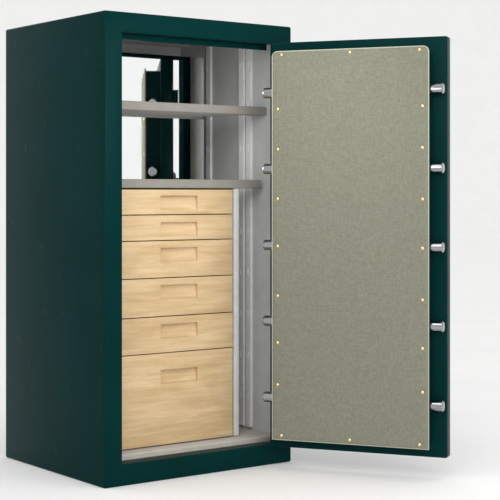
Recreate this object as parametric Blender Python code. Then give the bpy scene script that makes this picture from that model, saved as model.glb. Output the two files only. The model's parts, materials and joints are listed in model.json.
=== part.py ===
"""Gun safe with its door open: steel body, lined interior with shelves and drawers, and a bolted door.

Frame: origin at the centre of the body's footprint on the floor, front towards -Y, +Z up, metres.
Inside the script, X runs from the body's left side, Y back from its front plane and Z up from the
floor; place() moves a point to the part's frame. Door pieces are drawn as if the door were shut,
from its hinge axis, and turn with the door shell, which is their parent.
"""
import math

import bmesh
import bpy
from mathutils import Matrix, Vector

# ---- driving dimensions (metres, degrees) ----
BODY_W, BODY_D, BODY_H = 0.762, 0.680, 1.524
STEEL = 0.0045                      # body sheet
GAP = 0.0004                        # clearance between fixed neighbours
OPEN_L, OPEN_R = 0.066, 0.692       # door opening, from the left side
OPEN_B, OPEN_T = 0.070, 1.459       # door opening, from the floor
FRAME_T = 0.006                     # front frame plate
SLAB_T = 0.050                      # door slab thickness
STOP_IN = 0.018                     # how far the door stop reaches into the opening
STOP_Y0, STOP_Y1 = 0.0515, 0.0585   # door stop, front and rear faces
HINGE_JAMB_Y1 = 0.029               # rear edge of the short jamb beside the hinges
LINING_Y0_WALL = 0.0595             # front edge of the boards and liners
LINING_Y0_RIGHT = 0.0075            # the right wall's reach further forward, to the front frame
JAMB_T = 0.003                      # jamb sheet
FRAME_EDGE_R = 0.0058               # rounding of the body's front upright edges
BOARD_T = 0.0125                    # fireboard
LINER_T = 0.003                     # interior lining sheet
FLOOR_Z = 0.088                     # top of the carpeted floor
NOSING_Y = 0.062                    # front of the floor carpet
DOOR_OPEN = 121.7                   # door angle in the modelled pose
HINGE_X, HINGE_Y = 0.6865, -0.010   # hinge axis
SLAB_HINGE_X, SLAB_W = 0.688, 0.618
SLAB_GAP_Z = 0.0033
BOLT_R, BOLT_PITCH, BOLT_COUNT = 0.018, 0.2585, 5
BOLT_AXIS_Y = 0.078                 # bolt axis behind the door's outer face
DOOR_T = 0.112                      # outer face to lining face
PINION_R, PINION_TEETH = 0.0175, 14
HANDLE_Z, DIAL_Z = 0.800, 0.985
FURNITURE_Y = 0.115                 # front plane of drawers and shelves
DIVIDER_X0, DIVIDER_X1 = 0.598, 0.621
DRAWER_L, DRAWER_R = 0.0865, 0.5905  # clear of the door stop on the left, beside the divider
DRAWER_LEVELS = (0.0915, 0.402, 0.525, 0.655, 0.781, 0.868, 0.9545)
DRAWER_FRONT_T, DRAWER_GAP = 0.019, 0.0030
PROUD_DRAWER, PROUD = 5, 0.0012     # this drawer stands a little proud
PULL_X, PULL_Z = 0.3655, (0.321, 0.475, 0.607, 0.733, 0.819, 0.909)
PULL_HALF_W, PULL_HALF_H, PULL_DEEP = 0.0755, 0.0235, (0.008, 0.016)   # depth at foot and top
TRAY_H = (0.255, 0.085, 0.083, 0.083, 0.042, 0.0445)
TRAY_Y1, TRAY_INSET, TRAY_LIFT, TRAY_HEADROOM = 0.600, 0.004, 0.006, 0.020
TRAY_WALL, TRAY_FLOOR = 0.010, 0.006
SHELF_T, SHELF_EDGE_R = 0.030, 0.004
UPPER_REST, UPPER_CUT_X = 0.060, 0.652    # strip in front of the barrel cut-out, and its left side
LOWER_REST, LOWER_END_X = 0.050, 0.7185   # barrel rest across the aisle
REAR_CLEARANCE = 0.020              # furniture to the rear liner
UPPER_SHELF_Z, LOWER_SHELF_Z = 1.2175, 0.958
MIRROR_Y, MIRROR_R, MIRROR_TOP = 0.300, 0.597, 1.428
MIRROR_T = 0.006

COLOURS = {
    "green_paint": ((0.005, 0.045, 0.036, 1), 0.25, 0.0),
    "fireboard": ((0.75, 0.70, 0.62, 1), 0.9, 0.0),
    "grey_liner": ((0.35, 0.35, 0.34, 1), 0.85, 0.0),
    "beige_carpet": ((0.50, 0.45, 0.38, 1), 0.95, 0.0),
    "weave_fabric": ((0.28, 0.27, 0.20, 1), 0.9, 0.0),
    "birch": ((0.66, 0.50, 0.28, 1), 0.4, 0.0),
    "mirror_glass": ((0.9, 0.9, 0.9, 1), 0.02, 1.0),
    "chrome": ((0.75, 0.75, 0.77, 1), 0.1, 1.0),
    "zinc_steel": ((0.5, 0.5, 0.5, 1), 0.35, 1.0),
    "brass": ((0.7, 0.5, 0.2, 1), 0.3, 1.0),
    "black_plastic": ((0.02, 0.02, 0.02, 1), 0.35, 0.0),
}
MATERIALS = {}


def material(name):
    if name not in MATERIALS:
        colour, roughness, metallic = COLOURS[name]
        made = bpy.data.materials.new(name)
        made.use_nodes = True
        shader = made.node_tree.nodes["Principled BSDF"]
        shader.inputs["Base Color"].default_value = colour
        shader.inputs["Roughness"].default_value = roughness
        shader.inputs["Metallic"].default_value = metallic
        MATERIALS[name] = made
    return MATERIALS[name]


def place(x, y, z):
    return Vector((x - BODY_W / 2, y - BODY_D / 2, z))


def box_mesh(lo, hi):
    bm = bmesh.new()
    bmesh.ops.create_cube(bm, size=1.0)
    size = [hi[i] - lo[i] for i in range(3)]
    middle = [(hi[i] + lo[i]) / 2 for i in range(3)]
    bmesh.ops.scale(bm, vec=size, verts=bm.verts)
    bmesh.ops.translate(bm, vec=middle, verts=bm.verts)
    return bm


def prism_mesh(outline, lo, hi, axis):
    """Extrude a counter-clockwise outline (seen from +axis) along axis from lo to hi."""
    order = {"x": (1, 2, 0), "y": (2, 0, 1), "z": (0, 1, 2)}[axis]
    bm = bmesh.new()

    def corner(a, b, c):
        point = [0.0, 0.0, 0.0]
        point[order[0]], point[order[1]], point[order[2]] = a, b, c
        return bm.verts.new(point)

    low = [corner(a, b, lo) for a, b in outline]
    high = [corner(a, b, hi) for a, b in outline]
    count = len(outline)
    bm.faces.new(list(reversed(low)))
    bm.faces.new(high)
    for i in range(count):
        j = (i + 1) % count
        bm.faces.new((low[i], low[j], high[j], high[i]))
    bmesh.ops.recalc_face_normals(bm, faces=bm.faces)
    return bm


def turned_mesh(profile, axis, segments=28):
    """Turn (radius, distance) points about an axis through the origin; both ends are closed."""
    bm = bmesh.new()
    rings = []
    for radius, along in profile:
        ring = []
        for k in range(segments):
            angle = 2 * math.pi * k / segments
            ring.append(bm.verts.new((radius * math.cos(angle), radius * math.sin(angle), along)))
        rings.append(ring)
    for lower, upper in zip(rings, rings[1:]):
        for k in range(segments):
            j = (k + 1) % segments
            bm.faces.new((lower[k], lower[j], upper[j], upper[k]))
    bm.faces.new(list(reversed(rings[0])))
    bm.faces.new(rings[-1])
    turn = {"x": Matrix.Rotation(math.radians(90), 4, "Y"), "z": Matrix.Identity(4),
            "y": Matrix.Rotation(math.radians(-90), 4, "X")}[axis]
    bm.transform(turn)
    bmesh.ops.recalc_face_normals(bm, faces=bm.faces)
    return bm


def moved(bm, offset):
    bmesh.ops.translate(bm, vec=offset, verts=bm.verts)
    return bm


def temporary(bm):
    mesh = bpy.data.meshes.new("tool")
    bm.to_mesh(mesh)
    bm.free()
    tool = bpy.data.objects.new("tool", mesh)
    bpy.context.collection.objects.link(tool)
    return tool


def combine(bm, others, operation):
    """Cut or join meshes one by one with the exact solver and return the resulting bmesh."""
    for other in others:
        base, tool = temporary(bm), temporary(other)
        step = base.modifiers.new("step", "BOOLEAN")
        step.operation, step.solver, step.object = operation, "EXACT", tool
        graph = bpy.context.evaluated_depsgraph_get()
        graph.update()
        bm = bmesh.new()
        bm.from_object(base, graph)
        bpy.data.objects.remove(base)
        bpy.data.objects.remove(tool)
    bmesh.ops.dissolve_limit(bm, angle_limit=0.0005, verts=bm.verts, edges=bm.edges)
    bmesh.ops.remove_doubles(bm, verts=bm.verts, dist=1e-6)
    return bm


def add(name, bm, look, parent=None, smooth=False, in_body=True):
    """Make the named object. A mesh in body coordinates is moved to the part's frame."""
    if parent is None and in_body:
        moved(bm, place(0, 0, 0))
    mesh = bpy.data.meshes.new(name)
    bm.to_mesh(mesh)
    bm.free()
    piece = bpy.data.objects.new(name, mesh)
    bpy.context.collection.objects.link(piece)
    mesh.materials.append(material(look))
    if smooth:
        mesh.shade_smooth()
        mesh.set_sharp_from_angle(angle=math.radians(35))
    piece.parent = parent
    return piece


def slab(name, x, y, z, look, parent=None):
    return add(name, box_mesh((x[0], y[0], z[0]), (x[1], y[1], z[1])), look, parent)


def bevel(piece, width, segments=2):
    modifier = piece.modifiers.new("edge", "BEVEL")
    modifier.width, modifier.segments = width, segments
    modifier.limit_method, modifier.angle_limit = "ANGLE", math.radians(40)
    return piece


# ---- body ----
def body_shell():
    inner_y = FRAME_T + GAP
    slab("left_side_panel", (0, STEEL), (inner_y, BODY_D), (0, BODY_H), "green_paint")
    slab("right_side_panel", (BODY_W - STEEL, BODY_W), (inner_y, BODY_D), (0, BODY_H), "green_paint")
    across = (STEEL + GAP, BODY_W - STEEL - GAP)
    behind = (inner_y, BODY_D - STEEL - GAP)
    slab("top_panel", across, behind, (BODY_H - STEEL, BODY_H), "green_paint")
    base = box_mesh((across[0], behind[0], 0), (across[1], behind[1], STEEL))
    holes = [moved(turned_mesh([(0.007, -0.01), (0.007, 0.02)], "z", 16), (x, y, 0))
             for x in (0.110, BODY_W - 0.110) for y in (0.120, BODY_D - 0.120)]
    add("base_panel", combine(base, holes, "DIFFERENCE"), "green_paint")
    slab("back_panel", across, (BODY_D - STEEL, BODY_D), (0, BODY_H), "green_paint")


def front_frame():
    """Four plates with returns: an outer face and a jamb that the door slab closes into."""
    quarter = [math.radians(t) for t in (180, 202.5, 225, 247.5, 270)]
    jamb_z = (OPEN_B - JAMB_T, OPEN_T + JAMB_T)
    corner = [(FRAME_EDGE_R * (1 + math.cos(t)), FRAME_EDGE_R * (1 + math.sin(t))) for t in quarter]

    def post(name, outline, jamb_x, jamb_y1):
        plate = prism_mesh(outline, 0, BODY_H, "z")
        jamb = box_mesh((jamb_x, FRAME_T - 0.001, jamb_z[0]), (jamb_x + JAMB_T, jamb_y1, jamb_z[1]))
        add(name, combine(plate, [jamb], "UNION"), "green_paint")

    post("front_frame_left", corner + [(OPEN_L, 0), (OPEN_L, FRAME_T), (0, FRAME_T)],
         OPEN_L - JAMB_T, STOP_Y1)
    mirrored = [(BODY_W - x, y) for x, y in reversed(corner)]
    post("front_frame_right", [(BODY_W, FRAME_T), (OPEN_R, FRAME_T), (OPEN_R, 0)] + mirrored,
         OPEN_R, HINGE_JAMB_Y1)
    span = (OPEN_L + GAP, OPEN_R - GAP)
    edge = 0.004                       # flat-sided rounding of the top front edge
    top = [(0, OPEN_T), (STOP_Y1, OPEN_T), (STOP_Y1, OPEN_T + JAMB_T), (FRAME_T, OPEN_T + JAMB_T),
           (FRAME_T, BODY_H), (edge, BODY_H), (0.3 * edge, BODY_H - 0.3 * edge), (0, BODY_H - edge)]
    add("front_frame_top", prism_mesh(top, span[0], span[1], "x"), "green_paint")
    sill_y1 = NOSING_Y - 0.001
    bottom = [(0, 0), (FRAME_T, 0), (FRAME_T, OPEN_B - JAMB_T), (sill_y1, OPEN_B - JAMB_T),
              (sill_y1, OPEN_B), (0, OPEN_B)]
    add("front_frame_bottom", prism_mesh(bottom, span[0], span[1], "x"), "green_paint")


def door_stops():
    """Folded stops behind the slab's rear face; the lock-side bolts hook behind the left one."""
    slab("door_stop_left", (OPEN_L + GAP, OPEN_L + STOP_IN), (STOP_Y0, STOP_Y1),
         (OPEN_B + GAP, OPEN_T - GAP), "green_paint")
    slab("door_stop_top", (OPEN_L + STOP_IN + GAP, OPEN_R - GAP), (STOP_Y0, STOP_Y1),
         (OPEN_T - STOP_IN, OPEN_T - GAP), "green_paint")


def lining_planes():
    """Inner faces of the liners: left, right, back, ceiling."""
    wall = STEEL + GAP + BOARD_T + GAP + LINER_T
    return wall, BODY_W - wall, BODY_D - wall, BODY_H - wall


def insulation_and_liners():
    left, right, back, ceiling = lining_planes()
    board = STEEL + GAP
    z_board = (STEEL + GAP, BODY_H - board - BOARD_T - GAP)
    deep = (LINING_Y0_WALL, BODY_D - board - BOARD_T - GAP)
    slab("fireboard_left", (board, board + BOARD_T), deep, z_board, "fireboard")
    slab("fireboard_right", (BODY_W - board - BOARD_T, BODY_W - board), (LINING_Y0_RIGHT, deep[1]), z_board,
         "fireboard")
    slab("fireboard_back", (board, BODY_W - board), (deep[1] + GAP, BODY_D - board), z_board, "fireboard")
    slab("fireboard_top", (board, BODY_W - board), (LINING_Y0_WALL, BODY_D - board),
         (z_board[1] + GAP, BODY_H - board), "fireboard")
    z_liner = (FLOOR_Z + GAP, ceiling - GAP)
    slab("liner_left", (left - LINER_T, left), (LINING_Y0_WALL, back - GAP), z_liner, "grey_liner")
    slab("liner_right", (right, right + LINER_T), (LINING_Y0_RIGHT, back - GAP), z_liner, "grey_liner")
    slab("liner_back", (left - LINER_T, right + LINER_T), (back, back + LINER_T), z_liner, "grey_liner")
    slab("liner_ceiling", (left - LINER_T, right + LINER_T), (LINING_Y0_WALL, back + LINER_T),
         (ceiling, ceiling + LINER_T), "grey_liner")
    radius = 0.006
    arc = [math.radians(t) for t in (180, 157.5, 135, 112.5, 90)]
    nose = [(NOSING_Y + radius + radius * math.cos(t), FLOOR_Z - radius + radius * math.sin(t)) for t in arc]
    under = OPEN_B - 0.003
    outline = [(NOSING_Y, under), (back + LINER_T, under), (back + LINER_T, FLOOR_Z)] + list(reversed(nose))
    add("floor_carpet", prism_mesh(outline, left - LINER_T, right + LINER_T, "x"), "beige_carpet")


# ---- interior furniture ----
STANDARD_W, STANDARD_D = 0.026, 0.010
RIGHT_STANDARDS = (0.198, 0.243, 0.448)
LEFT_STANDARDS = (0.220, 0.448)
SLOT_COUNT, SLOT_END, SLOT_H, SLOT_D, SLOT_Y = 9, 0.10, 0.024, 0.004, (0.010, 0.016)


def standard_channel(name, x0, x1, y0, span):
    """Upright channel with a column of bracket slots in its inward face."""
    outer = box_mesh((x0, y0, span[0]), (x1, y0 + STANDARD_W, span[1]))
    face_x = x1 if x0 < BODY_W / 2 else x0
    first, last = span[0] + SLOT_END, span[1] - SLOT_END
    slots = []
    for k in range(SLOT_COUNT):
        z = first + k * (last - first) / (SLOT_COUNT - 1)
        slots.append(box_mesh((face_x - SLOT_D, y0 + SLOT_Y[0], z),
                              (face_x + SLOT_D, y0 + SLOT_Y[1], z + SLOT_H)))
    add(name, combine(outer, slots, "DIFFERENCE"), "zinc_steel")


def shelf_standards():
    left, right, _, ceiling = lining_planes()
    span = (FLOOR_Z + 0.010, ceiling - 0.012)
    for k, y in enumerate(RIGHT_STANDARDS):
        standard_channel("shelf_standard_right_%d" % (k + 1), right - GAP - STANDARD_D, right - GAP, y, span)
    for k, y in enumerate(LEFT_STANDARDS):
        standard_channel("shelf_standard_left_%d" % (k + 1), left + GAP, left + GAP + STANDARD_D, y, span)


def notch(y, x0, x1, z):
    pad = 0.0015
    return box_mesh((x0, y - pad, z - 0.01), (x1, y + STANDARD_W + pad, z + SHELF_T + 0.01))


def shelves():
    left, right, back, _ = lining_planes()
    y0, y1 = FURNITURE_Y - 0.001, MIRROR_Y - 0.001
    z = UPPER_SHELF_Z
    outline = [(left + GAP, y0), (right - GAP, y0), (right - GAP, y0 + UPPER_REST),
               (UPPER_CUT_X, y0 + UPPER_REST), (UPPER_CUT_X, y1), (left + GAP, y1)]
    upper = prism_mesh(outline, z, z + SHELF_T, "z")
    cuts = [notch(y, left - 0.01, left + STANDARD_D + 0.0015, z) for y in LEFT_STANDARDS if y < y1]
    upper = combine(upper, cuts, "DIFFERENCE")
    bevel(add("upper_shelf", upper, "beige_carpet"), SHELF_EDGE_R)
    z = LOWER_SHELF_Z
    x0, y1 = left + 0.015, back - REAR_CLEARANCE
    outline = [(x0, y0), (LOWER_END_X, y0), (LOWER_END_X, y0 + LOWER_REST), (DIVIDER_X1, y0 + LOWER_REST),
               (DIVIDER_X1, y1), (x0, y1)]
    bevel(add("lower_shelf", prism_mesh(outline, z, z + SHELF_T, "z"), "beige_carpet"), SHELF_EDGE_R)


def cabinet():
    """The cabinet's left side, the divider beside the gun aisle, and the mirror above the lower shelf."""
    left, _, back, _ = lining_planes()
    top = LOWER_SHELF_Z - GAP
    side = box_mesh((DRAWER_L - 0.0140, FURNITURE_Y + 0.003, FLOOR_Z + GAP),
                    (DRAWER_L - 0.0010, back - REAR_CLEARANCE, top))
    add("cabinet_left_side", side, "birch")
    divider = box_mesh((DIVIDER_X0, FURNITURE_Y, FLOOR_Z + GAP), (DIVIDER_X1, back - REAR_CLEARANCE, top))
    bevel(add("aisle_divider", divider, "grey_liner"), 0.006)
    mirror_z = (LOWER_SHELF_Z + SHELF_T + GAP, MIRROR_TOP)
    slab("mirror", (left + GAP, MIRROR_R), (MIRROR_Y, MIRROR_Y + MIRROR_T), mirror_z, "mirror_glass")


def drawer_pull_hole(z, y0):
    """Cutter for the finger recess: its floor leans back towards the top."""
    outline = [(y0 - 0.005, z - PULL_HALF_H), (y0 + PULL_DEEP[0], z - PULL_HALF_H),
               (y0 + PULL_DEEP[1], z + PULL_HALF_H), (y0 - 0.005, z + PULL_HALF_H)]
    return prism_mesh(outline, PULL_X - PULL_HALF_W, PULL_X + PULL_HALF_W, "x")


def drawers():
    """Six drawers, counted from the top; the lists run from the bottom one up."""
    for k in range(len(TRAY_H)):
        z0, z1 = DRAWER_LEVELS[k] + DRAWER_GAP / 2, DRAWER_LEVELS[k + 1] - DRAWER_GAP / 2
        number = len(TRAY_H) - k
        y0 = FURNITURE_Y - (PROUD if number == PROUD_DRAWER else 0)
        panel = box_mesh((DRAWER_L, y0, z0), (DRAWER_R, y0 + DRAWER_FRONT_T, z1))
        panel = combine(panel, [drawer_pull_hole(PULL_Z[k], y0)], "DIFFERENCE")
        front = add("drawer_%d_front" % number, panel, "birch")
        tray_x = (DRAWER_L + TRAY_INSET, DRAWER_R - TRAY_INSET)
        tray_y = (y0 + DRAWER_FRONT_T + GAP, TRAY_Y1)
        tray_z0 = z0 + TRAY_LIFT
        tray_z1 = tray_z0 + min(TRAY_H[k], z1 - z0 - TRAY_HEADROOM)
        tray = box_mesh((tray_x[0], tray_y[0], tray_z0), (tray_x[1], tray_y[1], tray_z1))
        hollow = box_mesh((tray_x[0] + TRAY_WALL, tray_y[0] + TRAY_WALL, tray_z0 + TRAY_FLOOR),
                          (tray_x[1] - TRAY_WALL, tray_y[1] - TRAY_WALL, tray_z1 + 0.05))
        tray = add("drawer_%d_box" % number, combine(tray, [hollow], "DIFFERENCE"), "birch")
        tray.parent = front


# ---- door: drawn shut, from the hinge axis ----
def dx(x):
    return x - HINGE_X


def dy(y):
    return y - HINGE_Y


def s_to_x(s):
    """Distance s from the slab's hinge edge to the door's own X."""
    return SLAB_HINGE_X - s - HINGE_X


def bolt_heights():
    middle = (OPEN_B + OPEN_T) / 2
    return [middle + (k - (BOLT_COUNT - 1) / 2) * BOLT_PITCH for k in range(BOLT_COUNT)]


SPINDLE_S = 0.309                   # handle and dial axis, from the slab's hinge edge
SPINDLE_HOLE_R, DIAL_HOLE_R = 0.0100, 0.0050
SLAB_SKIN = 0.005
PAN_S0, PAN_S1 = 0.039, 0.562      # door pan, from the slab's hinge edge
PAN_Z0, PAN_Z1 = 0.118, 1.410
PAN_WALL = 0.003
PANEL_S0, PANEL_S1 = 0.029, 0.572  # fabric lining panel
PANEL_Z0, PANEL_Z1, PANEL_R = 0.108, 1.420, 0.018
PAN_Y0 = SLAB_T + GAP
PAN_Y1 = 0.1035
LINING_Y0 = PAN_Y1 + GAP


def shaft_cutter(radius, y0, y1, x, z):
    return moved(turned_mesh([(radius, y0), (radius, y1)], "y", 20), (x, 0, z))


def with_shaft_holes(bm):
    """Cut the spindle and dial holes through a layer of the slab."""
    cutters = [shaft_cutter(radius, dy(-0.02), dy(0.08), s_to_x(SPINDLE_S), z)
               for radius, z in ((SPINDLE_HOLE_R, HANDLE_Z), (DIAL_HOLE_R, DIAL_Z))]
    return combine(bm, cutters, "DIFFERENCE")


def door_slab():
    """Outer shell, board and inner plate; the shell is the door's parent and carries its pose."""
    x0, x1 = s_to_x(SLAB_W), s_to_x(0)
    z0, z1 = OPEN_B + SLAB_GAP_Z, OPEN_T - SLAB_GAP_Z
    back_y = SLAB_T - SLAB_SKIN
    inset = SLAB_SKIN + GAP
    shell = box_mesh((x0, dy(0), z0), (x1, dy(back_y - GAP), z1))
    hollow = box_mesh((x0 + SLAB_SKIN, dy(SLAB_SKIN), z0 + SLAB_SKIN),
                      (x1 - SLAB_SKIN, dy(back_y + 0.02), z1 - SLAB_SKIN))
    shell = with_shaft_holes(combine(shell, [hollow], "DIFFERENCE"))
    shell = add("door_outer_shell", shell, "green_paint", in_body=False)
    shell.location = place(HINGE_X, HINGE_Y, 0)
    shell.rotation_euler = (0, 0, math.radians(DOOR_OPEN))
    board = box_mesh((x0 + inset, dy(inset), z0 + inset), (x1 - inset, dy(back_y - GAP), z1 - inset))
    add("door_fireboard", with_shaft_holes(board), "fireboard", shell)
    plate = box_mesh((x0, dy(back_y), z0), (x1, dy(SLAB_T), z1))
    add("door_inner_plate", with_shaft_holes(plate), "green_paint", shell)
    return shell


def door_pan(shell):
    x0, x1 = s_to_x(PAN_S1), s_to_x(PAN_S0)
    pan = box_mesh((x0, dy(PAN_Y0), PAN_Z0), (x1, dy(PAN_Y1), PAN_Z1))
    inside = box_mesh((x0 + PAN_WALL, dy(PAN_Y0 - 0.01), PAN_Z0 + PAN_WALL),
                      (x1 - PAN_WALL, dy(PAN_Y1 + 0.01), PAN_Z1 - PAN_WALL))
    holes = [moved(turned_mesh([(BOLT_R + 0.0008, x0 - 0.02), (BOLT_R + 0.0008, x1 + 0.02)], "x", 28),
                   (0, dy(BOLT_AXIS_Y), z)) for z in bolt_heights()]
    add("door_pan", combine(pan, [inside] + holes, "DIFFERENCE"), "green_paint", shell)


def lining_panel(shell):
    z0, z1, radius = PANEL_Z0, PANEL_Z1, PANEL_R
    x0, x1 = s_to_x(PANEL_S1), s_to_x(PANEL_S0)
    arc = [math.radians(t) for t in range(0, 91, 15)]
    outline = [(z0, x0), (z1 - radius, x0)]
    outline += [(z1 - radius + radius * math.sin(t), x0 + radius - radius * math.cos(t)) for t in arc[1:]]
    outline += [(z1 - radius + radius * math.cos(t), x1 - radius + radius * math.sin(t)) for t in arc]
    outline += [(z0, x1)]
    bm = prism_mesh(outline, dy(LINING_Y0), dy(DOOR_T), "y")
    bevel(add("door_lining_panel", bm, "weave_fabric", shell), 0.0025)


def rack_outline(x_lo, x_hi, pitch_z, back_z, phase):
    """Rack in the X-Z plane with straight-sided teeth; back_z is its plain edge."""
    module = 2 * PINION_R / PINION_TEETH
    pitch = math.pi * module
    slope = math.tan(PRESSURE_ANGLE)
    side = 1 if back_z > pitch_z else -1
    tip, root = pitch_z - side * TOOTH_TIP * module, pitch_z + side * TOOTH_ROOT * module
    half_tip = pitch / 4 - TOOTH_TIP * module * slope - BACKLASH
    half_root = pitch / 4 + TOOTH_ROOT * module * slope - BACKLASH
    points = []
    first = math.ceil((x_lo + half_root - phase) / pitch)
    last = math.floor((x_hi - half_root - phase) / pitch)
    for k in range(first, last + 1):
        centre = phase + k * pitch
        points += [(centre - half_root, root), (centre - half_tip, tip), (centre + half_tip, tip),
                   (centre + half_root, root)]
    return [(x_lo, root)] + points + [(x_hi, root), (x_hi, back_z), (x_lo, back_z)]


RACK_Y = (0.066, 0.074)             # rack thickness, behind the door's outer face
RACK_BACK, RACK_REACH = 0.016, 0.040
TOOTH_TIP, TOOTH_ROOT, BACKLASH = 0.7, 0.95, 0.00035   # tooth heights in modules
PRESSURE_ANGLE = math.radians(20)
LOCK_TIP_S, LOCK_BAR_S = 0.614, 0.492        # bolt tips and carrier bar, from the hinge edge
HINGE_TIP_S, HINGE_BAR_S = -0.0105, 0.1115   # tips clear the open drawers beside them
BOLT_LEN, BOLT_CHAMFER, BOLT_SEGMENTS = 0.108, 0.0035, 28
BAR_HALF_W, BAR_Y, BAR_OVERHANG = 0.014, (0.0735, 0.0825), 0.045
LOCK_ARM_Y1, LOCK_ARM_Z = 0.0795, (-0.060, -0.040)     # arm under the lock bolt, from the dial axis


def bolt_mesh(sign):
    profile = [(BOLT_R - BOLT_CHAMFER, 0), (BOLT_R, BOLT_CHAMFER), (BOLT_R, BOLT_LEN - 0.002),
               (BOLT_R - 0.001, BOLT_LEN)]
    bolt = turned_mesh(profile, "x", BOLT_SEGMENTS)
    if sign > 0:
        bmesh.ops.scale(bolt, vec=(-1, 1, 1), verts=bolt.verts)
        bmesh.ops.reverse_faces(bolt, faces=bolt.faces)
    return bolt


def boltwork(shell, name, sign, tip_s, bar_s):
    """A carrier bar with its rack arm and five bolts. sign is +1 on the hinge side, -1 on the lock side.

    The lock-side rack runs above the pinion and the hinge-side rack below it.
    """
    tip_x, bar_x, centre = s_to_x(tip_s), s_to_x(bar_s), s_to_x(SPINDLE_S)
    heights = bolt_heights()
    bar = box_mesh((bar_x - BAR_HALF_W, dy(BAR_Y[0]), heights[0] - BAR_OVERHANG),
                   (bar_x + BAR_HALF_W, dy(BAR_Y[1]), heights[-1] + BAR_OVERHANG))
    tooth_pitch = 2 * math.pi * PINION_R / PINION_TEETH
    pitch_z = HANDLE_Z - sign * PINION_R
    back_z = HANDLE_Z - sign * (PINION_R + RACK_BACK)
    ends = sorted((bar_x, centre - sign * RACK_REACH))
    outline = rack_outline(ends[0], ends[1], pitch_z, back_z, centre + tooth_pitch / 2)
    pieces = [prism_mesh([(z, x) for x, z in outline], dy(RACK_Y[0]), dy(RACK_Y[1]), "y")]
    pieces += [moved(bolt_mesh(sign), (tip_x, dy(BOLT_AXIS_Y), z)) for z in heights]
    if sign < 0:
        arm_x1 = s_to_x(SPINDLE_S + 0.0085)
        pieces.append(box_mesh((bar_x, dy(BAR_Y[0]), DIAL_Z + LOCK_ARM_Z[0]),
                               (arm_x1, dy(LOCK_ARM_Y1), DIAL_Z + LOCK_ARM_Z[1])))
    add(name, combine(bar, pieces, "UNION"), "chrome", shell, smooth=True)


def pinion_outline():
    """Outline of the involute pinion, centred on the origin, as (z, x) points."""
    module = 2 * PINION_R / PINION_TEETH
    base = PINION_R * math.cos(PRESSURE_ANGLE)
    outer, root = PINION_R + TOOTH_TIP * module, PINION_R - TOOTH_ROOT * module

    def involute(radius):
        t = math.sqrt(max((radius / base) ** 2 - 1, 0))
        return t - math.atan(t)

    half_pitch = math.pi / (2 * PINION_TEETH) - BACKLASH / PINION_R
    offset = half_pitch + involute(PINION_R)
    radii = [base + (outer - base) * k / 4 for k in range(5)]
    points = []
    for tooth in range(PINION_TEETH):
        middle = 2 * math.pi * tooth / PINION_TEETH + math.pi / 2
        flank = [(r, offset - involute(r)) for r in radii]
        for r, a in [(root, offset + 0.004)] + flank:
            points.append((r, middle - a))
        for r, a in list(reversed(flank)) + [(root, offset + 0.004)]:
            points.append((r, middle + a))
    return [(r * math.sin(a), r * math.cos(a)) for r, a in points]


SHAFT_R, SHAFT_Y, COLLAR_R, COLLAR_Y = 0.0094, (-0.004, 0.0640), 0.0105, (0.0645, 0.0760)
HUB_PROFILE = ((0.030, -0.0006), (0.030, -0.004), (0.022, -0.010), (0.019, -0.045),
               (0.024, -0.052), (0.024, -0.062), (0.017, -0.070))       # radius, depth
HUB_BORE_R, HUB_BORE_Y = 0.0098, (0.01, -0.0045)
SPOKE_PROFILE = ((0.0065, 0.010), (0.0060, 0.055), (0.0075, 0.090), (0.0120, 0.098),
                 (0.0140, 0.108), (0.0110, 0.119), (0.0050, 0.1235))    # radius, distance out
SPOKE_COUNT, SPOKE_Y = 3, -0.056


def at_depth(profile):
    """Move a (radius, depth behind the outer face) profile to the door's own Y."""
    return [(radius, dy(depth)) for radius, depth in profile]


def handle_parts(shell):
    """The spindle with its pinion, and the three-spoke handle fixed on its outer end."""
    spindle_x = s_to_x(SPINDLE_S)
    shaft = at_depth([(SHAFT_R, y) for y in SHAFT_Y] + [(COLLAR_R, y) for y in COLLAR_Y])
    gear = prism_mesh(pinion_outline(), dy(RACK_Y[0] + 0.0005), dy(RACK_Y[1] - 0.0005), "y")
    gear = combine(gear, [turned_mesh(shaft, "y", 24)], "UNION")
    moved(gear, (spindle_x, 0, HANDLE_Z))
    add("handle_spindle_pinion", gear, "zinc_steel", shell, smooth=True)
    bore = turned_mesh(at_depth([(HUB_BORE_R, y) for y in HUB_BORE_Y]), "y", 24)
    hub = combine(turned_mesh(at_depth(HUB_PROFILE), "y", 32), [bore], "DIFFERENCE")
    spokes = []
    for k in range(SPOKE_COUNT):
        spoke = turned_mesh(SPOKE_PROFILE, "z", 16)
        turn = Matrix.Rotation(2 * math.pi * k / SPOKE_COUNT, 4, "Y")
        spoke.transform(Matrix.Translation((0, dy(SPOKE_Y), 0)) @ turn)
        spokes.append(spoke)
    hub = combine(hub, spokes, "UNION")
    moved(hub, (spindle_x, 0, HANDLE_Z))
    add("door_handle", hub, "chrome", shell, smooth=True)


CASE_HALF_W, CASE_Y1, CASE_Z = 0.030, 0.084, (-0.040, 0.045)        # heights from the dial axis
BOLT_SLOT_HALF_W, BOLT_SLOT_Y, BOLT_SLOT_Z = 0.0083, (0.0697, 0.0803), (-0.060, -0.014)
LOCK_BOLT_HALF_W, LOCK_BOLT_Y, LOCK_BOLT_Z = 0.0078, (0.0702, 0.0798), (-0.0385, -0.0155)
RING_PROFILE = ((0.050, -0.0006), (0.050, -0.010), (0.046, -0.013), (0.020, -0.013))
RING_BORE_R = 0.0052
DIAL_PROFILE = ((0.0045, 0.0600), (0.0045, -0.0136), (0.040, -0.0136), (0.040, -0.017),
                (0.036, -0.021), (0.018, -0.023), (0.016, -0.042), (0.013, -0.044))


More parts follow.
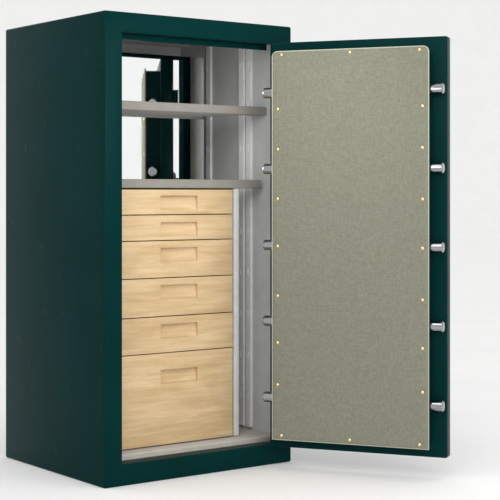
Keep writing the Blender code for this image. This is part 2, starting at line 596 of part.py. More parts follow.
def block(half_w, y, z):
    """Box centred on the spindle axis in X, with heights from the dial axis."""
    x = s_to_x(SPINDLE_S)
    return box_mesh((x - half_w, dy(y[0]), DIAL_Z + z[0]), (x + half_w, dy(y[1]), DIAL_Z + z[1]))


def lock_parts(shell):
    """Lock case with its sliding bolt inside, and the dial and ring outside."""
    spindle_x = s_to_x(SPINDLE_S)
    cutters = [block(BOLT_SLOT_HALF_W, BOLT_SLOT_Y, BOLT_SLOT_Z),
               shaft_cutter(DIAL_HOLE_R, dy(0.03), dy(0.0665), spindle_x, DIAL_Z)]
    case = combine(block(CASE_HALF_W, (PAN_Y0, CASE_Y1), CASE_Z), cutters, "DIFFERENCE")
    add("lock_case", case, "zinc_steel", shell)
    add("lock_bolt", block(LOCK_BOLT_HALF_W, LOCK_BOLT_Y, LOCK_BOLT_Z), "brass", shell)
    bore = turned_mesh(at_depth([(RING_BORE_R, -0.03), (RING_BORE_R, 0.01)]), "y", 20)
    ring = combine(turned_mesh(at_depth(RING_PROFILE), "y", 40), [bore], "DIFFERENCE")
    moved(ring, (spindle_x, 0, DIAL_Z))
    add("dial_ring", ring, "black_plastic", shell, smooth=True)
    dial = moved(turned_mesh(at_depth(DIAL_PROFILE), "y", 40), (spindle_x, 0, DIAL_Z))
    add("combination_dial", dial, "black_plastic", shell, smooth=True)


HINGE_HEIGHTS = (0.235, 1.235)
BARREL_R, BARREL_LEN = 0.0088, 0.050
PIN_R, PIN_BORE_R = 0.0050, 0.0054
LEAF_W, LEAF_ROOT, LEAF_Y1 = 0.034, 0.004, 0.0096      # leaf, from the hinge axis
FIXED_LEAF_Y0, DOOR_LEAF_Y0 = -0.0002, 0.0066


def hinges(shell):
    """Lower knuckle and pin on the body, upper knuckle on the door, each with its welded leaf."""
    top = 2 * BARREL_LEN
    low_top = BARREL_LEN - 0.0005
    for label, z in zip(("lower", "upper"), HINGE_HEIGHTS):
        pin = turned_mesh([(PIN_R, 0), (PIN_R, top - 0.004)], "z", 20)
        barrel = turned_mesh([(BARREL_R, 0), (BARREL_R, low_top)], "z", 24)
        leaf = box_mesh((LEAF_ROOT, FIXED_LEAF_Y0, 0), (LEAF_W, LEAF_Y1, low_top))
        fixed = combine(barrel, [pin, leaf], "UNION")
        moved(fixed, (HINGE_X, HINGE_Y, z))
        add("hinge_%s_body_knuckle" % label, fixed, "green_paint", smooth=True)
        barrel = turned_mesh([(BARREL_R, BARREL_LEN), (BARREL_R, top)], "z", 24)
        bore = turned_mesh([(PIN_BORE_R, BARREL_LEN - 0.01), (PIN_BORE_R, top - 0.003)], "z", 24)
        leaf = box_mesh((-LEAF_W, DOOR_LEAF_Y0, BARREL_LEN), (-LEAF_ROOT, LEAF_Y1, top))
        moving = combine(combine(barrel, [leaf], "UNION"), [bore], "DIFFERENCE")
        moved(moving, (0, 0, z))
        add("hinge_%s_door_knuckle" % label, moving, "green_paint", shell, smooth=True)


def build():
    for old in list(bpy.data.objects):
        bpy.data.objects.remove(old)
    body_shell()
    front_frame()
    door_stops()
    insulation_and_liners()
    shelf_standards()
    shelves()
    cabinet()
    drawers()
    shell = door_slab()
    door_pan(shell)
    lining_panel(shell)
    boltwork(shell, "lock_side_boltwork", -1, LOCK_TIP_S, LOCK_BAR_S)
    boltwork(shell, "hinge_side_boltwork", 1, HINGE_TIP_S, HINGE_BAR_S)
    handle_parts(shell)
    lock_parts(shell)
    hinges(shell)


build()
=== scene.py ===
"""Looks of the open gun safe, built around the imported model."""

import json
import math

import bmesh
import bpy
from mathutils import Matrix, Vector


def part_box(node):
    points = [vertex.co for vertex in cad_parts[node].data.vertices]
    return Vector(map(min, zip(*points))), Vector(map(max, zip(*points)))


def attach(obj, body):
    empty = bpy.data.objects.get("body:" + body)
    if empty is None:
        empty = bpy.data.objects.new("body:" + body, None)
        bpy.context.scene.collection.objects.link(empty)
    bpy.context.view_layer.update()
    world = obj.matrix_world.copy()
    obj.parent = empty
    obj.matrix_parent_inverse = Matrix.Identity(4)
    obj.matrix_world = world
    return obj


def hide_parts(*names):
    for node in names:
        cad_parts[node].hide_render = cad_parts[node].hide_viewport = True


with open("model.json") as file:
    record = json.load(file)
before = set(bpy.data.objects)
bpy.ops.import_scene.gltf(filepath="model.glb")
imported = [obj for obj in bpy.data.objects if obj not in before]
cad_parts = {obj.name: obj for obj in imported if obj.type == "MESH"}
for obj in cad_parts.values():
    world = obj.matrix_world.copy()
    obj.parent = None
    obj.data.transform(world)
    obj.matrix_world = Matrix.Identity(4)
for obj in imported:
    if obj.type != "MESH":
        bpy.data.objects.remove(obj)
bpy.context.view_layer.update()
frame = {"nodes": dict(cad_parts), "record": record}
NODES = frame["nodes"]
JOINTS = {j["name"]: j for j in frame["record"]["behaviour"]["joints"]}
BODY_OF = {n: b for b, names in frame["record"]["behaviour"]["bodies"].items() for n in names}

# ---- places read from the frame ----
HINGE = Vector(JOINTS["door_swing"]["pos_m"])
DOOR_OPEN = -JOINTS["door_swing"]["range_deg"][0]
DOOR = Matrix.Translation((HINGE.x, HINGE.y, 0)) @ Matrix.Rotation(math.radians(DOOR_OPEN), 4, "Z")
TO_DOOR = DOOR.inverted()


def door_box(node):
    """Lowest and highest corners of a door node in the door's own axes, which are the body's when shut."""
    points = [TO_DOOR @ v.co for v in NODES[node].data.vertices]
    low = Vector([min(p[i] for p in points) for i in range(3)])
    high = Vector([max(p[i] for p in points) for i in range(3)])
    return low, high


# ---- camera, lights, floor ----
LENS, SENSOR, SHIFT_Y = 101.8, 36.0, -0.114
CAMERA_AT, CAMERA_HEADING = (-2.7213, -4.2066, 0.9415), -37.06
WORLD_STRENGTH = 1.0
LIGHTS = (                          # name, place, target, size, power
    ("key", (-2.6, -3.6, 3.0), (0, 0, 0.8), 2.2, 45),
    ("fill", (-0.6, -4.4, 1.4), (0.1, 0, 0.7), 2.0, 50),
    ("inside", (-0.15, -0.95, 1.35), (0.30, 0.10, 1.0), 0.5, 2.2),
)


def camera():
    data = bpy.data.cameras.new("camera")
    data.lens, data.sensor_width = LENS, SENSOR
    data.shift_y = SHIFT_Y
    made = bpy.data.objects.new("camera", data)
    bpy.context.collection.objects.link(made)
    made.location = CAMERA_AT
    made.rotation_euler = (math.radians(90), 0, math.radians(CAMERA_HEADING))
    bpy.context.scene.camera = made


def area_light(name, place, target, size, power):
    data = bpy.data.lights.new(name, "AREA")
    data.shape, data.size, data.energy = "SQUARE", size, power
    made = bpy.data.objects.new(name, data)
    bpy.context.collection.objects.link(made)
    made.location = place
    made.rotation_euler = (Vector(target) - Vector(place)).to_track_quat("-Z", "Y").to_euler()


SWEEP_HALF_W, SWEEP_FRONT, SWEEP_START, SWEEP_R, SWEEP_TOP = 40.0, -40.0, 14.0, 9.0, 26.0
SWEEP_STEPS = 24


def sweep():
    """Pale floor that curves up into a backdrop far behind the safe."""
    profile = [(SWEEP_FRONT, 0.0), (SWEEP_START, 0.0)]
    for k in range(1, SWEEP_STEPS + 1):
        t = math.radians(90 * k / SWEEP_STEPS)
        profile.append((SWEEP_START + SWEEP_R * math.sin(t), SWEEP_R * (1 - math.cos(t))))
    profile.append((SWEEP_START + SWEEP_R, SWEEP_TOP))
    bm = bmesh.new()
    rows = [[bm.verts.new((x, y, z)) for x in (-SWEEP_HALF_W, SWEEP_HALF_W)] for y, z in profile]
    for near, far in zip(rows, rows[1:]):
        bm.faces.new((near[0], near[1], far[1], far[0]))
    mesh = bpy.data.meshes.new("floor")
    bm.to_mesh(mesh)
    bm.free()
    mesh.shade_smooth()
    floor = bpy.data.objects.new("floor", mesh)
    bpy.context.collection.objects.link(floor)
    look = Look("floor_paper", (0.90, 0.90, 0.89), 0.85, specular=0.1)
    look.vary(look.noise(2.0), (0.885, 0.885, 0.88), (0.91, 0.91, 0.905))
    mesh.materials.append(look.material)


def studio():
    world = bpy.data.worlds.new("studio")
    bpy.context.scene.world = world
    world.use_nodes = True
    background = world.node_tree.nodes["Background"]
    background.inputs["Color"].default_value = (1, 1, 1, 1)
    background.inputs["Strength"].default_value = WORLD_STRENGTH
    for light in LIGHTS:
        area_light(*light)
    bpy.context.scene.view_settings.view_transform = "Standard"
    sweep()


# ---- materials ----
class Look:
    """A Principled material with helpers that add procedural colour, roughness and bump."""

    def __init__(self, name, colour, roughness, metallic=0.0, specular=0.5):
        self.material = bpy.data.materials.new(name)
        self.material.use_nodes = True
        self.tree = self.material.node_tree
        self.shader = self.tree.nodes["Principled BSDF"]
        self.shader.inputs["Base Color"].default_value = (*colour, 1)
        self.shader.inputs["Roughness"].default_value = roughness
        self.shader.inputs["Metallic"].default_value = metallic
        self.shader.inputs["Specular IOR Level"].default_value = specular
        self.height = None
        self.place = self.tree.nodes.new("ShaderNodeTexCoord").outputs["Object"]

    def link(self, source, target):
        self.tree.links.new(source, target)

    def scaled(self, scale, turn=(0, 0, 0)):
        node = self.tree.nodes.new("ShaderNodeMapping")
        node.inputs["Scale"].default_value = scale
        node.inputs["Rotation"].default_value = turn
        self.link(self.place, node.inputs["Vector"])
        return node.outputs["Vector"]

    def noise(self, scale, detail=3.0, where=None, distortion=0.0):
        node = self.tree.nodes.new("ShaderNodeTexNoise")
        node.inputs["Scale"].default_value = scale
        node.inputs["Detail"].default_value = detail
        node.inputs["Distortion"].default_value = distortion
        self.link(where or self.place, node.inputs["Vector"])
        return node.outputs["Fac"]

    def wave(self, scale, direction, where=None, distortion=0.0):
        node = self.tree.nodes.new("ShaderNodeTexWave")
        node.bands_direction = direction
        node.inputs["Scale"].default_value = scale
        node.inputs["Distortion"].default_value = distortion
        self.link(where or self.place, node.inputs["Vector"])
        return node.outputs["Fac"]

    def ramp(self, value, low, high, low_at=0.3, high_at=0.7):
        node = self.tree.nodes.new("ShaderNodeValToRGB")
        node.color_ramp.elements[0].position = low_at
        node.color_ramp.elements[0].color = (*low, 1)
        node.color_ramp.elements[1].position = high_at
        node.color_ramp.elements[1].color = (*high, 1)
        self.link(value, node.inputs["Fac"])
        return node.outputs["Color"]

    def mix(self, kind, factor, first, second):
        node = self.tree.nodes.new("ShaderNodeMix")
        node.data_type, node.blend_type = "RGBA", kind
        if isinstance(factor, float):
            node.inputs["Factor"].default_value = factor
        else:
            self.link(factor, node.inputs["Factor"])
        self.link(first, node.inputs["A"])
        self.link(second, node.inputs["B"])
        return node.outputs["Result"]

    def maths(self, operation, first, second):
        node = self.tree.nodes.new("ShaderNodeMath")
        node.operation = operation
        for socket, value in zip(node.inputs, (first, second)):
            if isinstance(value, (int, float)):
                socket.default_value = value
            else:
                self.link(value, socket)
        return node.outputs["Value"]

    def vary(self, value, low, high, low_at=0.3, high_at=0.7):
        colour = self.ramp(value, low, high, low_at, high_at)
        self.link(colour, self.shader.inputs["Base Color"])
        return colour

    def colour(self, socket):
        self.link(socket, self.shader.inputs["Base Color"])

    def rough(self, value, low, high):
        node = self.tree.nodes.new("ShaderNodeMapRange")
        node.inputs["From Min"].default_value = 0.25
        node.inputs["From Max"].default_value = 0.75
        node.inputs["To Min"].default_value = low
        node.inputs["To Max"].default_value = high
        self.link(value, node.inputs["Value"])
        self.link(node.outputs["Result"], self.shader.inputs["Roughness"])

    def bump(self, value, strength, distance):
        node = self.tree.nodes.new("ShaderNodeBump")
        node.inputs["Strength"].default_value = strength
        node.inputs["Distance"].default_value = distance
        self.link(value, node.inputs["Height"])
        if self.height is not None:
            self.link(self.height, node.inputs["Normal"])
        self.height = node.outputs["Normal"]
        self.link(self.height, self.shader.inputs["Normal"])


def green_paint():
    look = Look("green_paint", (0.0005, 0.022, 0.021), 0.25, specular=0.03)
    look.vary(look.noise(3.0, 4), (0.0004, 0.0195, 0.0185), (0.0006, 0.0240, 0.0230))
    look.rough(look.noise(14.0, 5), 0.24, 0.28)
    look.bump(look.noise(420.0, 2), 0.05, 0.0004)
    look.bump(look.noise(5.0, 2), 0.012, 0.004)
    return look.material


def pile(name, low, high, scale=900.0, depth=0.0012):
    """Short carpet pile: mottled colour, fibre bump and sheen."""
    look = Look(name, high, 0.95, specular=0.1)
    patches = look.ramp(look.noise(18.0, 4), [c * 0.93 for c in high], [min(1, c * 1.05) for c in high])
    shade = [a / b for a, b in zip(low, high)]
    fibres = look.ramp(look.noise(scale, 3), shade, (1.12,) * 3)
    look.colour(look.mix("MULTIPLY", 0.75, patches, fibres))
    look.bump(look.noise(scale, 4), 0.55, depth)
    look.bump(look.noise(60.0, 3), 0.25, 0.002)
    look.shader.inputs["Sheen Weight"].default_value = 0.25
    look.shader.inputs["Sheen Roughness"].default_value = 0.5
    return look.material


def weave():
    """Fine plain weave in the X-Z plane of the piece, with slubs."""
    look = Look("weave_fabric", (0.28, 0.27, 0.20), 0.92, specular=0.12)
    across = look.wave(210.0, "X", distortion=1.0)
    up = look.wave(210.0, "Z", distortion=1.0)
    threads = look.maths("MULTIPLY", across, up)
    slubs = look.noise(1.0, 3, look.scaled((260, 60, 60)))
    upright = look.noise(1.0, 3, look.scaled((60, 60, 260)))
    mottled = look.maths("ADD", look.maths("MULTIPLY", slubs, 0.5), look.maths("MULTIPLY", upright, 0.5))
    tone = look.maths("ADD", look.maths("MULTIPLY", threads, 0.35), look.maths("MULTIPLY", mottled, 0.65))
    look.vary(tone, (0.150, 0.149, 0.112), (0.262, 0.260, 0.204), 0.28, 0.66)
    look.bump(threads, 0.5, 0.0006)
    look.bump(mottled, 0.35, 0.0008)
    look.shader.inputs["Sheen Weight"].default_value = 0.15
    return look.material


def birch(name, shift, lengthwise=False):
    """Pale birch with soft figure, pores and a satin lacquer; grain along X, or Y if lengthwise."""
    def grained(along, across, up):
        return look.scaled((across, along, up) if lengthwise else (along, across, up))

    look = Look(name, (0.66, 0.50, 0.28), 0.42, specular=0.35)
    node = look.tree.nodes.new("ShaderNodeMapping")
    node.inputs["Location"].default_value = (shift, shift * 0.7, shift * 0.3)
    look.link(look.place, node.inputs["Vector"])
    look.place = node.outputs["Vector"]
    grain = look.noise(1.0, 6, grained(5, 60, 75), 0.6)
    figure = look.noise(1.0, 3, grained(3.0, 9, 13), 1.4)
    pores = look.noise(1.0, 2, grained(90, 700, 900))
    base = look.ramp(grain, (0.52, 0.370, 0.200), (0.625, 0.470, 0.280), 0.30, 0.68)
    warm = look.ramp(figure, (0.93, 0.88, 0.82), (1.05, 1.05, 1.04), 0.35, 0.62)
    both = look.mix("MULTIPLY", 1.0, base, warm)
    specks = look.ramp(pores, (0.90, 0.87, 0.82), (1.0, 1.0, 1.0), 0.34, 0.46)
    look.colour(look.mix("MULTIPLY", 1.0, both, specks))
    look.rough(grain, 0.34, 0.50)
    look.bump(pores, 0.12, 0.0003)
    look.bump(grain, 0.08, 0.0005)
    return look.material


def metal(name, colour, low, high, brushed=0.0, bump=0.04):
    look = Look(name, colour, (low + high) / 2, metallic=1.0)
    tone = look.noise(9.0, 4)
    look.vary(tone, [c * 0.90 for c in colour], colour)
    look.rough(look.noise(30.0, 5), low, high)
    if brushed:
        look.bump(look.noise(1.0, 2, look.scaled((brushed, brushed, 6))), bump, 0.0003)
    else:
        look.bump(look.noise(180.0, 2), bump, 0.0002)
    return look.material


def mirror_silver():
    look = Look("mirror", (0.90, 0.92, 0.91), 0.02, metallic=1.0)
    look.vary(look.noise(4.0, 3), (0.87, 0.89, 0.88), (0.91, 0.93, 0.92))
    look.rough(look.noise(7.0, 5), 0.008, 0.05)
    return look.material


def fireboard():
    look = Look("fireboard", (0.72, 0.69, 0.62), 0.95, specular=0.1)
    look.vary(look.noise(45.0, 5), (0.66, 0.63, 0.56), (0.76, 0.73, 0.66))
    look.bump(look.noise(260.0, 4), 0.4, 0.0008)
    return look.material


def black_plastic():
    look = Look("black_plastic", (0.015, 0.015, 0.016), 0.35, specular=0.45)
    look.vary(look.noise(20.0, 4), (0.012, 0.012, 0.013), (0.020, 0.020, 0.021))
    look.rough(look.noise(50.0, 4), 0.28, 0.42)
    look.bump(look.noise(500.0, 2), 0.08, 0.0002)
    return look.material


def cream_cord():
    look = Look("cream_piping", (0.40, 0.40, 0.32), 0.85, specular=0.15)
    look.vary(look.noise(600.0, 3), (0.33, 0.33, 0.26), (0.46, 0.46, 0.37))
    look.bump(look.wave(420.0, "DIAGONAL"), 0.4, 0.0004)
    return look.material


def standard_enamel():
    """Bright satin enamel of the shelf standards."""
    look = Look("standard_enamel", (0.86, 0.86, 0.85), 0.35, specular=0.5)
    look.vary(look.noise(40.0, 4), (0.82, 0.82, 0.81), (0.88, 0.88, 0.87))
    look.rough(look.noise(30.0, 4), 0.28, 0.42)
    look.bump(look.noise(240.0, 3), 0.03, 0.0002)
    return look.material


def white_paint():
    look = Look("white_paint", (0.72, 0.72, 0.70), 0.5, specular=0.3)
    look.vary(look.noise(300.0, 3), (0.66, 0.66, 0.64), (0.75, 0.75, 0.73))
    return look.material


LOOKS = {
    "white_paint": white_paint(),
    "green_paint": green_paint(),
    "grey_liner": pile("grey_liner", (0.42, 0.42, 0.41), (0.57, 0.57, 0.56)),
    "beige_carpet": pile("beige_carpet", (0.185, 0.175, 0.155), (0.275, 0.258, 0.228)),
    "floor_pile": pile("floor_pile", (0.34, 0.31, 0.27), (0.50, 0.465, 0.41)),
    "weave_fabric": weave(),
    "mirror": mirror_silver(),
    "chrome": metal("chrome", (0.33, 0.33, 0.345), 0.08, 0.18),
    "standard_enamel": standard_enamel(),
    "zinc_steel": metal("zinc_steel", (0.84, 0.84, 0.84), 0.42, 0.54, brushed=300.0, bump=0.015),
    "brass": metal("brass", (0.80, 0.58, 0.26), 0.20, 0.34),
    "black_plastic": black_plastic(),
    "fireboard": fireboard(),
    "piping": cream_cord(),
}
for number in range(1, 7):
    LOOKS["birch_%d" % number] = birch("birch_%d" % number, number * 1.37)
    LOOKS["birch_box_%d" % number] = birch("birch_box_%d" % number, number * 1.91, lengthwise=True)


# ---- mesh helpers ----
def to_mesh(name, bm):
    mesh = bpy.data.meshes.new(name)
    bm.to_mesh(mesh)
    bm.free()
    made = bpy.data.objects.new(name, mesh)
    bpy.context.collection.objects.link(made)
    return made


def piece(name, bm, look, body, matrix=None, stands_for=(), angle=32):
    made = to_mesh(name, bm)
    made.data.materials.append(LOOKS[look])
    made.data.shade_smooth()
    made.data.set_sharp_from_angle(angle=math.radians(angle))
    if matrix is not None:
        made.matrix_world = matrix
    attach(made, body)
    if stands_for:
        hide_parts(*stands_for)
    return made


def box(low, high):
    bm = bmesh.new()
    bmesh.ops.create_cube(bm, size=1.0)
    bmesh.ops.scale(bm, vec=[high[i] - low[i] for i in range(3)], verts=bm.verts)
    bmesh.ops.translate(bm, vec=[(high[i] + low[i]) / 2 for i in range(3)], verts=bm.verts)
    return bm


def rounded_box(low, high, radius, segments=4):
    bm = box(low, high)
    bmesh.ops.bevel(bm, geom=list(bm.edges), offset=radius, segments=segments, profile=0.5, affect="EDGES")
    return bm


def cut(bm, cutters, operation="DIFFERENCE"):
    for cutter in cutters:
        base, tool = to_mesh("base", bm), to_mesh("tool", cutter)
        step = base.modifiers.new("step", "BOOLEAN")
        step.operation, step.solver, step.object = operation, "EXACT", tool
        graph = bpy.context.evaluated_depsgraph_get()
        graph.update()
        bm = bmesh.new()
        bm.from_object(base, graph)
        bpy.data.objects.remove(base)
        bpy.data.objects.remove(tool)
    return bm


def soften(bm, width, segments=2, angle=30):
    """Bevel the mesh's own corners, leaving flat joins alone."""
    bmesh.ops.dissolve_limit(bm, angle_limit=0.001, verts=bm.verts, edges=bm.edges)
    sharp = [e for e in bm.edges if len(e.link_faces) == 2 and e.calc_face_angle(0) > math.radians(angle)]
    bmesh.ops.bevel(bm, geom=sharp, offset=width, segments=segments, profile=0.5, affect="EDGES",
                    clamp_overlap=True)
    return bm


def turned(profile, axis="z", segments=48):
    """Turn (radius, along) points about an axis; a radius of 0 closes an end."""
    bm = bmesh.new()
    verts = [bm.verts.new((r, 0, a)) for r, a in profile]
    edges = [bm.edges.new(pair) for pair in zip(verts, verts[1:])]
    bmesh.ops.spin(bm, geom=verts + edges, cent=(0, 0, 0), axis=(0, 0, 1), angle=2 * math.pi,
                   steps=segments, use_merge=True)
    bmesh.ops.remove_doubles(bm, verts=bm.verts, dist=1e-6)
    bmesh.ops.recalc_face_normals(bm, faces=bm.faces)
    if axis == "y":
        bm.transform(Matrix.Rotation(math.radians(-90), 4, "X"))
    if axis == "x":
        bm.transform(Matrix.Rotation(math.radians(90), 4, "Y"))
    return bm


# ---- CAD nodes that keep their shape ----
NODE_SMOOTH_ANGLE = 25              # degrees; faces that meet at more than this keep a hard edge


def dress_cad_nodes():
    slots = {s["node"]: s["material_slot"] for s in frame["record"]["subparts"]}
    for name, node in NODES.items():
        slot = slots[name]
        if slot == "birch":
            number = int(name.split("_")[1]) if name.startswith("drawer") else 1
            look = LOOKS["birch_%d" % number if name.endswith("front") else "birch_box_%d" % number]
        elif name == "floor_carpet":
            look = LOOKS["floor_pile"]
        elif name.startswith("shelf_standard"):
            look = LOOKS["standard_enamel"]
        else:
            look = LOOKS[slot]
        node.data.materials.clear()
        node.data.materials.append(look)
        node.data.shade_smooth()
        node.data.set_sharp_from_angle(angle=math.radians(NODE_SMOOTH_ANGLE))


# ---- body ----
SHEET, FRONT_T, JAMB_T = 0.0045, 0.006, 0.003
BODY_EDGE_R, RIM_R, RIM_ANGLE = 0.007, 0.0016, 1.2     # the angle in radians
NEAR = 1e-3


def opening_rim(bm, front_y, x, z):
    """Edges where the door opening meets the front face."""
    rim = []
    for edge in bm.edges:
        if len(edge.link_faces) != 2 or edge.calc_face_angle(0) <= RIM_ANGLE:
            continue
        places = [v.co for v in edge.verts]
        in_front = all(abs(p.y - front_y) < NEAR / 10 for p in places)
        across = all(x[0] - NEAR < p.x < x[1] + NEAR for p in places)
        up = all(z[0] - NEAR < p.z < z[1] + NEAR for p in places)
        if in_front and across and up:
            rim.append(edge)
    return rim


def painted_body():
    """The folded steel body as one painted skin, with rounded outside corners and the door opening."""
    low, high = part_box("left_side_panel")[0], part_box("back_panel")[1]
    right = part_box("right_side_panel")[1]
    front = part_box("front_frame_left")[0]
    low = Vector((low[0], front[1], 0))
    high = Vector((right[0], high[1], right[2]))
    jamb_left, jamb_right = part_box("front_frame_left")[1][0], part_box("front_frame_right")[0][0]
    sill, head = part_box("front_frame_bottom")[1][2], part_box("front_frame_top")[0][2]
    jamb_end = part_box("front_frame_left")[1][1]
    short_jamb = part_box("front_frame_right")[1][1]
    outer = rounded_box(low, high, BODY_EDGE_R)
    cavity = box((low.x + SHEET, low.y + FRONT_T, SHEET), (high.x - SHEET, high.y - SHEET, high.z - SHEET))
    sleeve = box((jamb_left - JAMB_T, low.y + FRONT_T - 0.0005, sill - JAMB_T),
                 (jamb_right + JAMB_T, jamb_end, head + JAMB_T))
    opening = box((jamb_left, low.y - 0.1, sill), (jamb_right, jamb_end + 0.002, head))
    past_jamb = box((jamb_right - 0.0005, short_jamb, sill - 0.01),
                    (jamb_right + 0.010, jamb_end + 0.01, head + 0.01))
    bm = cut(outer, [cavity])
    bm = cut(bm, [sleeve], "UNION")
    bm = cut(bm, [opening])
    bm = cut(bm, [past_jamb])
    rim = opening_rim(bm, low.y, (jamb_left, jamb_right), (sill, head))
    bmesh.ops.bevel(bm, geom=rim, offset=RIM_R, segments=3, profile=0.5, affect="EDGES")
    panels = ["left_side_panel", "right_side_panel", "top_panel", "base_panel", "back_panel",
              "front_frame_left", "front_frame_right", "front_frame_top", "front_frame_bottom"]
    piece("body_painted_shell", bm, "green_paint", "safe_body", stands_for=panels)


# ---- door ----
SLAB_EDGE_R = 0.0055


def painted_slab():
    low, high = door_box("door_outer_shell")
    high = Vector(high)
    high.y = door_box("door_inner_plate")[1].y
    piece("door_painted_slab", rounded_box(low, high, SLAB_EDGE_R), "green_paint", "door", DOOR,
          stands_for=["door_outer_shell", "door_inner_plate"])


TACK_SIDE_S, TACK_SIDE_Z = (0.0488, 0.550), (1.225, 1.089, 0.922, 0.762, 0.594, 0.436, 0.294)
TACK_END_S, TACK_END_Z = (0.062, 0.303, 0.540), (1.408, 0.123)
HINGE_EDGE_X = 0.0015               # the slab's hinge edge, from the hinge axis


def tack_places():
    """Tack centres on the lining, as (x, z): two side columns and a row at the top and the bottom."""
    places = [(s, z) for z in TACK_END_Z for s in TACK_END_S]
    places += [(s, z) for z in TACK_SIDE_Z for s in TACK_SIDE_S]
    return [(HINGE_EDGE_X - s, z) for s, z in places]


def lining_outline(low, high, radius, steps=8):
    """Outline of the panel, counter-clockwise seen from the room: round at the top, square below."""
    points = [(low.x, low.z), (high.x, low.z)]
    for k in range(steps + 1):
        t = math.pi / 2 * k / steps
        points.append((high.x - radius + radius * math.cos(t), high.z - radius + radius * math.sin(t)))
    for k in range(steps + 1):
        t = math.pi / 2 + math.pi / 2 * k / steps
        points.append((low.x + radius + radius * math.cos(t), high.z - radius + radius * math.sin(t)))
    return points


def inside_distance(x, z, low, high, radius):
    """Distance from a point to the rounded outline, positive inside."""
    middle_x = (low.x + high.x) / 2
    across = abs(x - middle_x) - (high.x - low.x) / 2 + radius
    up = z - high.z + radius
    if across > 0 and up > 0:
        return radius - math.hypot(across, up)
    return min(radius - across, high.z - z, z - low.z)


LINING_R, LINING_COLUMNS, LINING_ROWS = 0.018, 60, 150
CROWN_W, CROWN_H, EDGE_DROP = 0.006, 0.0040, 0.0045     # rounding towards the panel's edge
DIMPLE_D, DIMPLE_R = 0.0026, 0.011                      # pulled in round each tack
RIPPLE = 0.0003
TACK = ((0.0, 0.0030), (0.0022, 0.0028), (0.0042, 0.0020), (0.0056, 0.0008), (0.0058, 0.0), (0.0, 0.0))
TACK_SEAT = 0.0031


def pulled_to_outline(x, z, low, high):
    """Nearest point on the round top corner, for a grid point outside it."""
    corner_x = high.x - LINING_R if x > (low.x + high.x) / 2 else low.x + LINING_R
    corner = Vector((corner_x, high.z - LINING_R))
    out = (Vector((x, z)) - corner).normalized() * LINING_R
    return corner.x + out.x, corner.y + out.y


def padded_height(x, z, away, high, tacks):
    """Height of the stretched cloth: crowned at the edge and dimpled at the tacks."""
    crown = 1 - (1 - min(away, CROWN_W) / CROWN_W) ** 2
    y = high.y - EDGE_DROP + CROWN_H * crown
    for px, pz in tacks:
        y -= DIMPLE_D * math.exp(-(math.hypot(x - px, z - pz) / DIMPLE_R) ** 2)
    return y + RIPPLE * math.sin(x * 41 + z * 17) * math.sin(z * 23) * crown


def lining_mesh(low, high, tacks):
    bm = bmesh.new()
    grid = {}
    for i in range(LINING_COLUMNS + 1):
        for j in range(LINING_ROWS + 1):
            x = low.x + (high.x - low.x) * i / LINING_COLUMNS
            z = low.z + (high.z - low.z) * j / LINING_ROWS
            away = inside_distance(x, z, low, high, LINING_R)
            if away < 0:
                x, z = pulled_to_outline(x, z, low, high)
                away = 0
            grid[i, j] = bm.verts.new((x, padded_height(x, z, away, high, tacks), z))
    for i in range(LINING_COLUMNS):
        for j in range(LINING_ROWS):
            bm.faces.new((grid[i, j], grid[i, j + 1], grid[i + 1, j + 1], grid[i + 1, j]))
    bmesh.ops.remove_doubles(bm, verts=bm.verts, dist=1e-6)
    bmesh.ops.recalc_face_normals(bm, faces=bm.faces)
    back = bmesh.ops.extrude_edge_only(bm, edges=[e for e in bm.edges if e.is_boundary])
    for v in back["geom"]:
        if isinstance(v, bmesh.types.BMVert):
            v.co.y = low.y
    bmesh.ops.contextual_create(bm, geom=[e for e in back["geom"] if isinstance(e, bmesh.types.BMEdge)
                                          and e.is_boundary])
    bmesh.ops.recalc_face_normals(bm, faces=bm.faces)
    return bm


def padded_lining():
    low, high = door_box("door_lining_panel")
    tacks = tack_places()
    panel = piece("door_fabric_panel", lining_mesh(low, high, tacks), "weave_fabric", "door", DOOR,
                  stands_for=["door_lining_panel"], angle=60)
    piping(low, high, LINING_R)
    for k, (x, z) in enumerate(tacks):
        head = turned(list(reversed(TACK)), "y", 20)
        matrix = DOOR @ Matrix.Translation((x, high.y - TACK_SEAT, z))
        piece("brass_tack_%02d" % (k + 1), head, "brass", "door", matrix)


PIPING_R, PIPING_INSET = 0.0022, 0.6


def piping(low, high, radius):
    """Light welt cord round the panel's edge."""
    points = lining_outline(low, high, radius)
    data = bpy.data.curves.new("lining_piping", "CURVE")
    data.dimensions, data.bevel_depth, data.bevel_resolution = "3D", PIPING_R, 3
    spline = data.splines.new("POLY")
    spline.points.add(len(points) - 1)
    middle = Vector(((low.x + high.x) / 2, (low.z + high.z) / 2))
    for point, (x, z) in zip(spline.points, points):
        inward = Vector((x, z)) - middle
        x -= math.copysign(PIPING_R * PIPING_INSET, inward.x)
        z -= math.copysign(PIPING_R * PIPING_INSET, inward.y)
        point.co = (x, high.y - EDGE_DROP - 0.0001, z, 1)
    spline.use_cyclic_u = True
    curve = bpy.data.objects.new("lining_piping", data)
    bpy.context.collection.objects.link(curve)
    curve.data.materials.append(LOOKS["piping"])
    curve.matrix_world = DOOR
    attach(curve, "door")


BOLT_R, BOLT_PITCH, BOLT_COUNT, BAR_OVERHANG = 0.018, 0.2585, 5, 0.045
BUSH = ((0.0189, -0.004), (0.0225, -0.004), (0.0235, -0.003), (0.0235, 0.0), (0.0189, 0.0), (0.0189, -0.004))


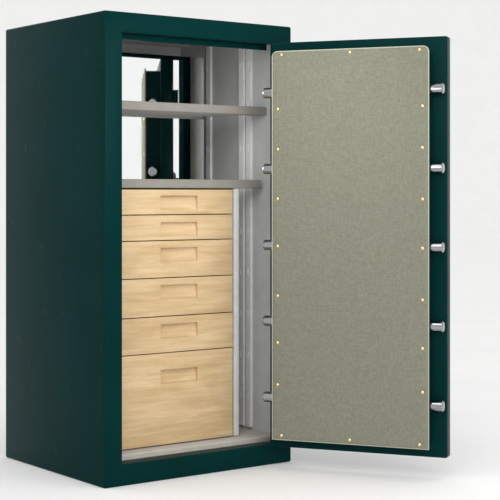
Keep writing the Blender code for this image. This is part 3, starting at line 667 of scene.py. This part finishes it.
def bolt_bushes():
    """Guide bushes that line the pan's bolt holes."""
    low, high = door_box("door_pan")
    bar_low, bolts_high = door_box("lock_side_boltwork")
    middle_y = bolts_high.y - BOLT_R
    for k in range(BOLT_COUNT):
        z = bar_low.z + BAR_OVERHANG + BOLT_PITCH * k
        for side, x, sign in (("lock", low.x, 1), ("hinge", high.x, -1)):
            bm = turned([(r, a * sign) for r, a in BUSH], "x", 36)
            bmesh.ops.recalc_face_normals(bm, faces=bm.faces)
            matrix = DOOR @ Matrix.Translation((x, middle_y, z))
            name = "%s_side_bolt_bush_%d" % (side, k + 1)
            piece(name, bm, "green_paint", "door", matrix)


# ---- outside of the door ----
DIAL_MARKS, DIAL_LONG_EVERY = 50, 5
DIAL_SLOPE, DIAL_APEX_Y = math.atan(0.1111), -0.0150    # sloping face, and where it meets the axis
MARK_LONG, MARK_SHORT, MARK_OUT_R, MARK_HALF_W, MARK_HALF_T = 0.0070, 0.0042, 0.0358, 0.00035, 0.0003


def dial_marks():
    """Graduations on the dial's sloping face, plain strokes only, and an index on the fixed ring."""
    low, high = door_box("combination_dial")
    centre = (low + high) / 2
    bm = bmesh.new()
    for k in range(DIAL_MARKS):
        length = MARK_LONG if k % DIAL_LONG_EVERY == 0 else MARK_SHORT
        stroke = box((-MARK_HALF_W, -MARK_HALF_T, 0.0), (MARK_HALF_W, MARK_HALF_T, length))
        stroke.transform(Matrix.Translation((0, 0, MARK_OUT_R - length)))
        slope = Matrix.Rotation(-DIAL_SLOPE, 4, "X")
        turn = Matrix.Rotation(2 * math.pi * k / DIAL_MARKS, 4, "Y")
        stroke.transform(turn @ slope)
        part = bpy.data.meshes.new("stroke")
        stroke.to_mesh(part)
        stroke.free()
        bm.from_mesh(part)
        bpy.data.meshes.remove(part)
    matrix = DOOR @ Matrix.Translation((centre.x, DIAL_APEX_Y, centre.z))
    piece("dial_graduations", bm, "white_paint", "dial", matrix)
    ring_low = door_box("dial_ring")[0]
    mark = box((-0.0007, 0.0, 0.0412), (0.0007, 0.0006, 0.0455))
    matrix = DOOR @ Matrix.Translation((centre.x, ring_low.y - 0.0003, centre.z))
    piece("dial_index_mark", mark, "white_paint", "door", matrix)


# ---- drawers ----
DRAWER_EDGE_R, RECESS_LOW, RECESS_HIGH = 0.0012, 0.008, 0.016    # recess depth at its foot and top
SIDE_MARGIN, END_MARGIN = 0.05, 0.004                            # the pull lies inside these


def drawer_fronts():
    for number in range(1, 7):
        node = "drawer_%d_front" % number
        low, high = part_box(node)
        low, high = Vector(low), Vector(high)
        zs = sorted({round(v.co.z, 5) for v in NODES[node].data.vertices
                     if low.z + END_MARGIN < v.co.z < high.z - END_MARGIN})
        xs = sorted({round(v.co.x, 5) for v in NODES[node].data.vertices
                     if low.x + SIDE_MARGIN < v.co.x < high.x - SIDE_MARGIN})
        bm = cut(box(low, high), [recess(xs[0], xs[-1], zs[0], zs[-1], low.y)])
        soften(bm, DRAWER_EDGE_R, 2)
        piece("drawer_%d_wood_front" % number, bm, "birch_%d" % number, BODY_OF[node],
              stands_for=[node])


def recess(x0, x1, z0, z1, y0):
    bm = box((x0, y0 - 0.01, z0), (x1, y0 + RECESS_LOW, z1))
    for v in bm.verts:
        if v.co.y > y0 and v.co.z > (z0 + z1) / 2:
            v.co.y = y0 + RECESS_HIGH
    return bm


dress_cad_nodes()
camera()
studio()
painted_body()
painted_slab()
padded_lining()
bolt_bushes()
dial_marks()
drawer_fronts()
